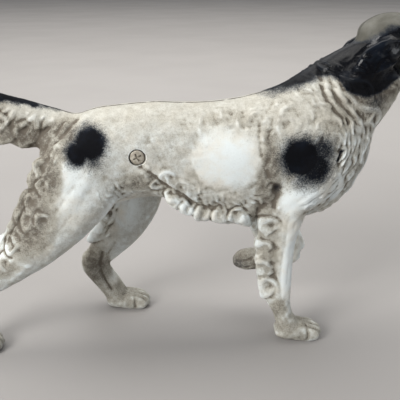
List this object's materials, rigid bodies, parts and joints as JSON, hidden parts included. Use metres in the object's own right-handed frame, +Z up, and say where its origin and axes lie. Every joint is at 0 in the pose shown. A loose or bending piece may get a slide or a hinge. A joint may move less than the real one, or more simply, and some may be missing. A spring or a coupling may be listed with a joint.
{
  "type": "cast iron dog statue",
  "caption": "Painted cast iron setter dog standing on point, a forepaw lifted, made of right and left half castings held together by a screw through the flank.",
  "frame": {"origin": "on the floor under the middle of the figure's bounding box, on the mid-plane where the two half castings meet", "axes": "+X from the tail to the nose, +Y to the dog's left side, +Z up"},
  "size_m": [0.3584, 0.0778, 0.2221],
  "materials": {
    "enamel": "aged semi-gloss white enamel on cast iron with black patches, a black head and brown grime in the hollows",
    "screw_metal": "worn steel with old paint and grime"
  },
  "bodies": {
    "root": {"right_casting": "enamel", "left_casting": "enamel", "assembly_screw": "screw_metal"}
  },
  "joints": []
}
